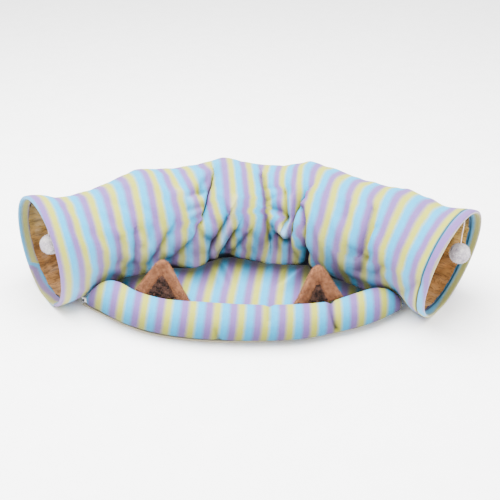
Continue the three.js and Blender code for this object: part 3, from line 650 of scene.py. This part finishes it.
def strand(group, length, thickness):
    """Short pointed strand of pile."""
    return add(group, "GeometryNodeMeshCone", {
        "Vertices": 3, "Radius Top": 0.0, "Radius Bottom": thickness / 2 * MM, "Depth": length * MM},
        fill_type="NONE")


def curl(group, ring, thickness):
    """Small closed curl of yarn."""
    loop = add(group, "GeometryNodeCurvePrimitiveCircle", {"Resolution": 9, "Radius": ring * MM})
    yarn = add(group, "GeometryNodeCurvePrimitiveCircle", {"Resolution": 4, "Radius": thickness / 2 * MM})
    return add(group, "GeometryNodeCurveToMesh", {"Curve": loop, "Profile Curve": yarn})


def covered(piece, form, per_square_cm, lean, sizes, seed, **measures):
    """Covers a piece with strands or curls on its faces, which lean and differ in size at random."""
    group = bpy.data.node_groups.new("pile", "GeometryNodeTree")
    for way in ("INPUT", "OUTPUT"):
        group.interface.new_socket("Geometry", in_out=way, socket_type="NodeSocketGeometry")
    skin = add(group, "NodeGroupInput").outputs["Geometry"]
    roots = add(group, "GeometryNodeDistributePointsOnFaces", {
        "Mesh": skin, "Density": per_square_cm * CM_IN_METRE ** 2, "Seed": seed})
    turn = add(group, "FunctionNodeRandomValue", {
        0: [-most for most in lean], 1: lean, "Seed": seed}, data_type="FLOAT_VECTOR")
    turned = add(group, "FunctionNodeRotateRotation", {
        "Rotation": roots.outputs["Rotation"], "Rotate By": turn}, rotation_space="LOCAL")
    scale = add(group, "FunctionNodeRandomValue", {
        2: sizes[0], 3: sizes[1], "Seed": seed + 1}, data_type="FLOAT")
    grown = add(group, "GeometryNodeInstanceOnPoints", {
        "Points": roots, "Instance": form(group, **measures), "Rotation": turned,
        "Scale": scale.outputs[1]})
    real = add(group, "GeometryNodeRealizeInstances", {"Geometry": grown})
    pile = add(group, "GeometryNodeSetMaterial", {"Geometry": real, "Material": piece.data.materials[0]})
    both = add(group, "GeometryNodeJoinGeometry")
    group.links.new(skin, both.inputs["Geometry"])
    group.links.new(pile.outputs["Geometry"], both.inputs["Geometry"])
    add(group, "NodeGroupOutput", {"Geometry": both})
    modifier = piece.modifiers.new("pile", "NODES")
    modifier.node_group = group
    return baked(piece)


def plush_ball(ball):
    """Round pompom: an uneven core under short strands."""
    top = hung_from(ball)
    bm = bmesh.new()
    bmesh.ops.create_icosphere(bm, subdivisions=4, radius=BALL_CORE * MM)
    name = f"pompom_{ball['side']}"
    mesh = mesh_of(name, bm)
    at = points_of(mesh)
    lumps = np.prod(np.sin(at * BALL_LUMPS["waves"] + BALL_LUMPS["starts"]), axis=1, keepdims=True)
    middle = np.array([top[0], top[1], ball["z"]]) * MM
    set_points(mesh, at * (1 + BALL_LUMPS["size"] * lumps) + middle)
    piece = place_piece(name, mesh, WHITE_PLUSH, f"ball_{ball['side']}")
    return covered(piece, strand, length=3.0, thickness=0.7, per_square_cm=90,
                   lean=(0.6, 0.6, 0.6), sizes=(0.6, 1.15), seed=7)


for ball in BALLS:
    cord, leaves, length = ball_cord(ball)
    pompom = plush_ball(ball)

# Stripes of the cover: at a station, the number of the stripe on top, on the bed side, lower on that side
# and under the tube. The casing seam takes up cloth, so the numbers jump there, and at the back they jump
# by a whole repeat more.
SEAM_TAKES = 1.5  # mm either way of the seam over which the numbers jump
STRIPES = [
    dict(s=0.0, top=-0.16, side=0.08, low=0.08, under=0.08),
    dict(s=HOOP_AT[1], top=4.88, side=5.22, low=5.32, under=5.32),
    dict(s=370.0, top=7.40, side=7.46, low=7.58, under=7.58),
    dict(s=HOOP_AT[2], top=8.98, side=9.05, low=9.05, under=9.05),
    dict(s=HOOP_AT[3], top=13.55, side=12.90, low=12.90, under=12.90),
    dict(s=725.0, top=15.26, side=14.62, low=14.38, under=14.30),
    dict(s=HOOP_AT[4], top=17.80, side=17.30, low=17.30, under=17.30),
    dict(s=SEAM_AT - SEAM_TAKES, top=20.45, side=20.50, low=20.32, under=19.96),
    dict(s=SEAM_AT + SEAM_TAKES, top=20.82, side=20.86, low=20.50, under=20.02),
    dict(s=TUBE_LENGTH, top=21.00, side=21.13, low=20.78, under=20.22),
]
# Angles over which the numbers go from the bed side's to the others
STRIPE_ANGLES = dict(top=(25, 100), low=(-22, 22), under=(-62, -28), behind=(240, 290))

# Tunnel cover: from the left hem's end over the rim, along the outside, and into the right hem
HEM_STEPS = 8  # rows of points along a hem
RIM_STEPS = 13  # and round the fold of a rim
# Painted highlight along the fold of the rim: how far round the fold it is, its width, and how pale it is
# on the near and far side of the left and the right mouth. The far side starts and ends over these angles.
RIM_HIGHLIGHT = dict(angle=92, width=26, near=(0.18, 0.5), far=(0.1, 0.2), starts=(110, 140), ends=(250, 285))
# Painted light on the low side of the cover, paler and greyer: degrees round, and how pale
LOW_SIDE_LIGHT = dict(angles=(-25, 30), most=0.1)
HEM_INSIDE = dict(worn=0.12, shade=0.38)  # painted greyer light and painted shade on the hem inside the mouths
# The left hem's cloth is joined at this angle, within so many degrees and mm of the rim, and its stripes
# are shifted there by part of a repeat
HEM_JOIN = dict(angle=222, degrees=2, millimetres=3, shift=0.56)
# Rows of points on the outside of the cover: up to a station, and how many
COVER_RUNS = [
    dict(to=330, count=66),
    dict(to=730, count=150),
    dict(to=SEAM_AT - 6, count=58),
    dict(to=SEAM_AT + 6, count=14),
    dict(to=TUBE_LENGTH - RIM_ROUND, count=4),
]
# Angles of the points round the tube, from its seam below the bed side, closer up to just past the top
TUBE_SEAM = (-64, 296)
FINE_TO = 96
COVER_ANGLES = np.concatenate([
    np.linspace(TUBE_SEAM[0], FINE_TO, 100)[:-1], np.linspace(FINE_TO, TUBE_SEAM[1], 45)])


def cover_path():
    """Stations and insets along the cover from hem to hem, and which of them are on the outside."""
    bend = np.linspace(0, np.pi, RIM_STEPS)
    rim_s = RIM_ROUND * (1 - np.sin(bend))
    rim_in = HEM_THICKNESS / 2 * (1 + np.cos(bend))
    hem_s = np.linspace(HEM, RIM_ROUND, HEM_STEPS)[:-1]
    outside = [RIM_ROUND]
    for run in COVER_RUNS:
        outside += list(np.linspace(outside[-1], run["to"], run["count"] + 1)[1:])
    left = np.concatenate([hem_s, rim_s[:-1]])
    left_in = np.concatenate([np.full(len(hem_s), HEM_THICKNESS), rim_in[:-1]])
    stations = np.concatenate([left, outside, TUBE_LENGTH - left[::-1]])
    insets = np.concatenate([left_in, np.zeros(len(outside)), left_in[::-1]])
    return stations, insets, slice(len(left), len(left) + len(outside))


def stripe_numbers(stations, outside, run):
    """Numbers of the stripes on the cover, from the mm of cloth run along each angle."""
    behind = smoothstep(COVER_ANGLES, *STRIPE_ANGLES["behind"])
    on_top = smoothstep(COVER_ANGLES, *STRIPE_ANGLES["top"]) * (1 - behind)
    below = 1 - smoothstep(COVER_ANGLES, *STRIPE_ANGLES["low"]) + behind
    bottom = 1 - smoothstep(COVER_ANGLES, *STRIPE_ANGLES["under"]) + behind
    joined = smoothstep(COVER_ANGLES, HEM_JOIN["angle"], HEM_JOIN["angle"] + HEM_JOIN["degrees"])
    at, top, side, low, under = (
        np.array([row[k] for row in STRIPES]) for k in ("s", "top", "side", "low", "under"))
    numbers = np.empty_like(run)
    for j in range(len(COVER_ANGLES)):
        known = side + on_top[j] * (top - side) + below[j] * (low - side) + bottom[j] * (under - low)
        known = known + behind[j] * (at > SEAM_AT)
        length = np.interp(at, stations[outside], run[outside, j])
        numbers[:, j] = np.interp(run[:, j], length, known)
        before = np.maximum(length[0] - run[:, j], 0)
        after = np.maximum(run[:, j] - length[-1], 0)
        numbers[:, j] += (after - before) / HEM_REPEAT
        numbers[:, j] += joined[j] * HEM_JOIN["shift"] * smoothstep(before, 0, HEM_JOIN["millimetres"])
    return numbers


def painted_rim_highlight(stations, insets):
    """How strong the painted highlight round a mouth is: along the fold of the rim, less on its far side.
    """
    turned = np.degrees(np.arccos(1 - 2 * insets / HEM_THICKNESS))
    along = np.where(insets > 0, bell(turned - RIM_HIGHLIGHT["angle"], RIM_HIGHLIGHT["width"]), 0)
    near, far = (np.where(stations < TUBE_LENGTH / 2, *RIM_HIGHLIGHT[side]) * along for side in ("near", "far"))
    ended = smoothstep(COVER_ANGLES, *RIM_HIGHLIGHT["ends"])
    behind = smoothstep(COVER_ANGLES, *RIM_HIGHLIGHT["starts"]) * (1 - ended)
    return near[:, None] + behind * (far - near)[:, None]


def tunnel_cover():
    """Striped cover with its folds and hems, with painted highlights and painted shade on it."""
    stations, insets, outside = cover_path()
    s = stations[:, None] + 0 * COVER_ANGLES
    a = COVER_ANGLES + 0 * s
    radius, shift = cover_shape(s, a)
    points = tube_points(s + shift, a, radius - insets[:, None], insets[:, None])
    step = np.linalg.norm(np.diff(points, axis=0), axis=2)
    run = np.vstack([np.zeros(len(COVER_ANGLES)), np.cumsum(step, axis=0)])
    cloth = np.stack([stripe_numbers(stations, outside, run), a * ROUND_MM / STRIPE_REPEAT], axis=-1)
    # Painted light and shade: highlights on rims and ridges, paler low side and hems, shade in folds, seam
    # and beside the mat
    hem = smoothstep(insets, 0, HEM_THICKNESS)[:, None]
    low = LOW_SIDE_LIGHT["most"] * (1 - smoothstep(a, *LOW_SIDE_LIGHT["angles"]))
    worn = np.maximum(painted_rim_highlight(stations, insets), np.maximum(low, HEM_INSIDE["worn"] * hem))
    worn = worn + sum(painted_ridge_highlight(fold, s, a) for fold in FOLDS)
    shade = np.clip(cover_shade(s, a) + HEM_INSIDE["shade"] * hem, 0, 1)
    mesh = tube_mesh("striped_cover", points, cloth, worn=worn, shade=shade)
    piece = place_piece("striped_cover", mesh, STRIPED, "tunnel_cover")
    thick = piece.modifiers.new("thickness", "SOLIDIFY")
    thick.thickness = COVER_THICKNESS * MM
    thick.offset = -1
    return baked(piece)


# Lining: a crinkled tube inside the cover, with pleats along the tube that start at the hems
LINING_GAP = 6.0  # least gap to the outside of the cover
LINING_LOWEST = 8.0  # it keeps this far over the floor, or its gap to the cover where that is less
LINING_TUCK = 3.0  # mm of the lining under the hem
LINING_ENDS = dict(inside=12.0, pinch=3.0)  # mm past the hem over which it is drawn in, and how far
LINING_STEPS = 200
LINING_ANGLES = np.linspace(*TUBE_SEAM, 181)
# Pleats: how many round the tube, depth, and how far they sway and mm from sway to sway along it
PLEATS = [
    dict(count=17, depth=2.6, sway=0.9, every=210),
    dict(count=31, depth=1.2, sway=1.6, every=130),
    dict(count=53, depth=0.5, sway=2.3, every=75),
]


def tunnel_lining():
    """Lining from hem to hem, drawn in at its ends."""
    start = HEM - LINING_TUCK
    stations = np.linspace(start, TUBE_LENGTH - start, LINING_STEPS)
    s = stations[:, None] + 0 * LINING_ANGLES
    a = LINING_ANGLES + 0 * s
    radius, shift = cover_shape(s, a)
    inset = np.full(s.shape, LINING_GAP)
    for pleat in PLEATS:
        sway = pleat["sway"] * np.sin(2 * np.pi * s / pleat["every"] + pleat["count"])
        inset = inset + pleat["depth"] * (1 + np.sin(np.radians(a) * pleat["count"] + sway))
    ends = 1 - smoothstep(np.minimum(s, TUBE_LENGTH - s), start, HEM + LINING_ENDS["inside"])
    inset = inset + ends * LINING_ENDS["pinch"]
    points = tube_points(s + shift, a, radius - inset, np.minimum(inset, LINING_LOWEST))
    cloth = np.stack([s / LINING_UNIT, (a - TUBE_SEAM[0]) / 360], axis=-1)
    mesh = tube_mesh("gold_lining", points, cloth)
    return place_piece("gold_lining", mesh, LINING, "tunnel_lining")


cover = tunnel_cover()
lining = tunnel_lining()


# Filled cloth of the bed
def solid_of(node):
    """CAD solid with its points joined, to be worked on."""
    bm = bmesh.new()
    bm.from_mesh(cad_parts[node].data)
    bmesh.ops.remove_doubles(bm, verts=bm.verts, dist=ONE_POINT * MM)
    return bm


def copy_of(node):
    return mesh_of(node, solid_of(node))


def rounded(node, radius, segments, wanted):
    """Copy of a CAD solid with whole flat faces and the wanted ones of its edges rounded."""
    bm = solid_of(node)
    bmesh.ops.dissolve_limit(bm, angle_limit=math.radians(1), verts=bm.verts, edges=bm.edges)
    bmesh.ops.bevel(bm, geom=[edge for edge in bm.edges if wanted(edge)], offset=radius * MM,
                    offset_type="OFFSET", segments=segments, profile=0.5, affect="EDGES", material=-1)
    return mesh_of(node, bm)


def evened(piece, grain):
    """Gives a piece an even skin of small faces."""
    remesh = piece.modifiers.new("even", "REMESH")
    remesh.mode = "VOXEL"
    remesh.voxel_size = grain * MM
    return baked(piece)


def softened(mesh, turns):
    """Evens out the corners of a mesh a little with each turn."""
    bm = bmesh.new()
    bm.from_mesh(mesh)
    for _ in range(turns):
        bmesh.ops.smooth_vert(bm, verts=bm.verts, factor=0.5,
                              use_axis_x=True, use_axis_y=True, use_axis_z=True)
    bm.to_mesh(mesh)
    bm.free()


FILL_FRAMES = 20
FILL_PRESSURE = 4.0
FILL_MOST = 3.0  # mm that a point of a cushion moves at most


def filled(piece):
    """Blows a piece up as filled cloth."""
    before = points_of(piece.data)
    cloth = piece.modifiers.new("filling", "CLOTH")
    cloth.settings.use_pressure = True
    cloth.settings.uniform_pressure_force = FILL_PRESSURE
    cloth.settings.effector_weights.gravity = 0
    cloth.point_cache.frame_start = 1
    cloth.point_cache.frame_end = FILL_FRAMES
    for number in range(1, FILL_FRAMES + 1):
        bpy.context.scene.frame_set(number)
    baked(piece)
    bpy.context.scene.frame_set(1)
    moved = points_of(piece.data) - before
    far = np.linalg.norm(moved, axis=1, keepdims=True)
    set_points(piece.data, before + moved * np.minimum(1, FILL_MOST * MM / np.maximum(far, 1e-9)))


def subdivided(piece):
    finer = piece.modifiers.new("finer", "SUBSURF")
    finer.levels = finer.render_levels = 1
    return baked(piece)


def dress_cushion(piece, at, shade, number):
    """Gives a cushion its points in mm, its painted shade and its stripes."""
    set_points(piece.data, at * MM)
    set_values(piece.data, "shade", shade)
    set_cloth(piece.data, np.stack([number, at[:, 1] / STRIPE_REPEAT], axis=-1))


def cushion(name, node, grain):
    """Filled striped cloth in the form of a CAD solid."""
    piece = place_piece(name, copy_of(node), STRIPED, node)
    evened(piece, grain)
    softened(piece.data, turns=4)
    filled(piece)
    return subdivided(piece)


BED_FOOT = 5.3  # underside of mat and roll, on the panel
ROLL_STRIPE_LEAN = [(-310, 0.20), (0, 0.12), (170, 0.0)]  # place along X, lean of the stripes to the right
ROLL_MIDDLE = 45.0  # height round which they lean
ROLL_STRIPE_START = 14.0
ROLL_REPEAT = 51.0  # the roll's cloth is drawn together a little
ROLL_SHADE = dict(most=0.62, z=(10, 85))  # painted shade, darker low down
DENT_SHADE_NARROWING = 1.6  # how much narrower than a dent its painted shade line is
# Soft dents of the roll's front: from the top down, in X and height, width, depth, and how dark their
# painted shade is
ROLL_DENTS = [
    dict(x0=168, z0=74, x1=181, z1=28, width=7, depth=6, dark=0.5),
    dict(x0=-71, z0=48, x1=-65, z1=12, width=8, depth=3, dark=0.2),
    dict(x0=40, z0=84, x1=40, z1=70, width=8, depth=4, dark=0.2),
]


def front_roll():
    """Roll along the front of the bed, with its dents."""
    piece = cushion("roll_cushion", "front_roll", grain=5)
    at = points_of(piece.data) / MM
    normals = points_of(piece.data, "normal")
    # Painted shade: darker low down and along the dents
    shade = ROLL_SHADE["most"] * (1 - smoothstep(at[:, 2], *ROLL_SHADE["z"]))
    for dent in ROLL_DENTS:
        line = np.array([dent["x1"] - dent["x0"], dent["z1"] - dent["z0"]], float)
        off = at[:, [0, 2]] - (dent["x0"], dent["z0"])
        part = np.clip(off @ line / (line @ line), 0, 1)
        away = np.linalg.norm(off - part[:, None] * line, axis=1)
        at -= normals * (dent["depth"] * bell(away, dent["width"]))[:, None]
        shade += dent["dark"] * bell(DENT_SHADE_NARROWING * away, dent["width"])
    at[:, 2] = np.maximum(at[:, 2], BED_FOOT)
    lean = np.interp(at[:, 0], *zip(*ROLL_STRIPE_LEAN))
    number = (at[:, 0] - lean * (at[:, 2] - ROLL_MIDDLE) - ROLL_STRIPE_START) / ROLL_REPEAT
    dress_cushion(piece, at, shade, number)


AXIS_STATIONS = np.linspace(0, TUBE_LENGTH, 600)
AXIS_POINTS = tube_points(AXIS_STATIONS, 0 * AXIS_STATIONS, 0 * AXIS_STATIONS, 0)[:, :2]
AXIS_SIDES = tube_points(AXIS_STATIONS, 0 * AXIS_STATIONS, 0 * AXIS_STATIONS + 1, 0)[:, :2] - AXIS_POINTS


def gap_to_tube(at):
    """How far points lie in front of the tube at their height, and the way to its bed side."""
    nearest = np.array([np.argmin(np.sum((AXIS_POINTS - p) ** 2, axis=1)) for p in at[:, :2]])
    way = AXIS_SIDES[nearest]
    out = np.sum((at[:, :2] - AXIS_POINTS[nearest]) * way, axis=1)
    rise = at[:, 2] - AXIS_HEIGHT
    radius, _ = cover_shape(AXIS_STATIONS[nearest], np.degrees(np.arctan2(rise, out)))
    return out - np.sqrt(np.maximum(radius ** 2 - rise ** 2, 0)), way


MAT_STRIPES = dict(start=-1.5, turn=0.114, y=-110)  # turned round this place along Y
MAT_WAVES = dict(above=30, height=1.2, x=23, y=19, start=1)  # unevenness of its top, in mm to a radian
MAT_UPPER = (14, 34)  # heights over which the mat begins to follow the tube
MAT_GAP = 3.5  # mat's back edge to the tube
MAT_DRAW = (8, 60)  # mm from the tube over which the mat is drawn less and less to it
MAT_DROP = 6.0  # how much lower the mat's back edge lies
DROP_ENDS = (5, 60)  # mm from the tube over which that dies out
MAT_SHADE = (25, 150)  # mm from the tube over which the painted shade that the tube casts on the mat fades out
MAT_HUMP = dict(x=-50, width=42, height=11)  # where the mat's back is drawn up with the cover


def bed_mat():
    """Mat of the bed, with its back edge drawn to the tube."""
    piece = cushion("mat_cushion", "bed_mat", grain=6)
    at = points_of(piece.data) / MM
    waves = np.sin(at[:, 0] / MAT_WAVES["x"] + MAT_WAVES["start"]) * np.sin(at[:, 1] / MAT_WAVES["y"])
    at[:, 2] += np.where(at[:, 2] > MAT_WAVES["above"], MAT_WAVES["height"] * waves, 0)
    at[:, 2] = np.maximum(at[:, 2], BED_FOOT)
    gap, _ = gap_to_tube(at)
    upper = smoothstep(at[:, 2], *MAT_UPPER)
    hump = MAT_HUMP["height"] * bell(at[:, 0] - MAT_HUMP["x"], MAT_HUMP["width"])
    at[:, 2] += (hump - MAT_DROP) * upper * (1 - smoothstep(gap, *DROP_ENDS))
    gap, way = gap_to_tube(at)
    draw = (gap - MAT_GAP) * (1 - smoothstep(gap, *MAT_DRAW)) * upper
    at[:, :2] -= way * draw[:, None]
    across = at[:, 0] - MAT_STRIPES["turn"] * (at[:, 1] - MAT_STRIPES["y"])
    number = (across - MAT_STRIPES["start"]) / STRIPE_REPEAT
    # Painted shade on the mat's back, under the tube's overhang
    dress_cushion(piece, at, 1 - smoothstep(gap - draw, *MAT_SHADE), number)


PANEL_ROUND = 2.2
SHARP = 60  # degrees from face to face at a rim


def is_rim(edge):
    """Whether an edge of the panel runs level along its rim."""
    low, high = sorted(point.co.z for point in edge.verts)
    return len(edge.link_faces) == 2 and high - low < MM and edge.calc_face_angle() > math.radians(SHARP)


def bed_panel():
    """Thin padded panel with a rounded edge."""
    mesh = rounded("bed_panel", PANEL_ROUND, segments=4, wanted=is_rim)
    piece = place_piece("floor_panel", mesh, PANEL_CLOTH, "bed_panel")


EAR_PLUMP = 1.0  # depth of the close pile under the strands
EAR_TIP = dict(left=6.0, right=0.0)  # mm that the tip leans to the right
EAR_HEIGHTS = (52, 125)  # from where it stands free up to the tip


def tip_leaned(mesh, side):
    """Leans the tip of an ear to the right, more and more to the top."""
    at = points_of(mesh)
    part = (at[:, 2] / MM - EAR_HEIGHTS[0]) / np.ptp(EAR_HEIGHTS)
    at[:, 0] += EAR_TIP[side] * MM * np.clip(part, 0, 1) ** 2
    set_points(mesh, at)


def ear(side, seed):
    """Ear: padded plush border under short strands, and a curly dark panel sewn into it."""
    node = f"ear_{side}"
    border = place_piece(f"ear_plush_{side}", copy_of(node), TAN_PLUSH, node)
    evened(border, grain=2.5)
    softened(border.data, turns=3)
    set_points(border.data, points_of(border.data) + EAR_PLUMP * MM * points_of(border.data, "normal"))
    tip_leaned(border.data, side)
    covered(border, strand, length=4.0, thickness=0.7, per_square_cm=70,
            lean=(0.7, 0.7, 0.7), sizes=(0.6, 1.15), seed=seed)
    node = f"ear_panel_{side}"
    panel = place_piece(f"ear_curls_{side}", copy_of(node), DARK_PLUSH, node)
    evened(panel, grain=1.5)
    softened(panel.data, turns=2)
    tip_leaned(panel.data, side)
    covered(panel, curl, ring=1.9, thickness=1.1, per_square_cm=12,
            lean=(1.3, 1.3, 3.0), sizes=(0.6, 1.2), seed=seed)


front_roll()
bed_mat()
bed_panel()
ear("left", seed=3)
ear("right", seed=11)


# Zip ends of the roll's cover
def zip_end(name, node, material, radius):
    """Small part of the zip with all its edges rounded."""
    mesh = rounded(node, radius, segments=3, wanted=lambda edge: True)
    place_piece(name, mesh, material, node)


zip_end("zip_tape_end", "zip_tape", TAPE_CLOTH, radius=0.7)
zip_end("zip_end_stop", "zip_stop", ZIP_PLASTIC, radius=0.8)
zip_end("zip_pull", "zip_slider", ZIP_METAL, radius=1.6)


# Floor and light, in metres
FLOOR_REACH = 6.0
FLOOR_UNDER = 0.0005  # how far the floor lies under the object
FLOOR_GRAIN = 60  # mm from tone to tone of its paper
LIGHTS_LOOK_AT = (0.0, 0.0, 0.1)
ROOM_LIGHT = 2.4


def stage():
    """Plain floor of matt pale paper, hardly uneven in tone."""
    bm = bmesh.new()
    bmesh.ops.create_grid(bm, x_segments=1, y_segments=1, size=FLOOR_REACH)
    floor = bpy.data.objects.new("floor", mesh_of("floor", bm))
    bpy.context.collection.objects.link(floor)
    floor.location.z = -FLOOR_UNDER
    material, tree = new_material("pale_paper")
    place = add(tree, "ShaderNodeTexCoord").outputs["Object"]
    clouds = add(tree, "ShaderNodeTexNoise", {
        "Vector": place, "Scale": 1 / (FLOOR_GRAIN * MM), "Detail": 2})
    tones = [(0.3, linear("#fbfbfb")), (0.7, linear("#ffffff"))]
    colour = add(tree, "ShaderNodeValToRGB", {"Fac": clouds}, stops=tones)
    shader = add(tree, "ShaderNodeBsdfPrincipled", {
        "Base Color": colour, "Roughness": 1.0, "Specular IOR Level": 0.0})
    add(tree, "ShaderNodeOutputMaterial", {"Surface": shader})
    floor.data.materials.append(material)


LIGHTS = [
    dict(name="key", at=(-0.3, -0.1, 2.2), size=2.4, watts=345),
    dict(name="fill", at=(1.8, -1.2, 1.6), size=2.0, watts=30),
]


def light():
    """Soft lamps and an even white room."""
    for row in LIGHTS:
        lamp = bpy.data.lights.new(row["name"], "AREA")
        lamp.size = row["size"]
        lamp.energy = row["watts"]
        placed = bpy.data.objects.new(row["name"], lamp)
        bpy.context.collection.objects.link(placed)
        placed.location = row["at"]
        ray = Vector(LIGHTS_LOOK_AT) - Vector(row["at"])
        placed.rotation_euler = ray.to_track_quat("-Z", "Y").to_euler()
    world = bpy.data.worlds.new("studio")
    bpy.context.scene.world = world
    world.use_nodes = True
    room = world.node_tree.nodes["Background"].inputs
    room["Color"].default_value = (1, 1, 1, 1)
    room["Strength"].default_value = ROOM_LIGHT


stage()
light()
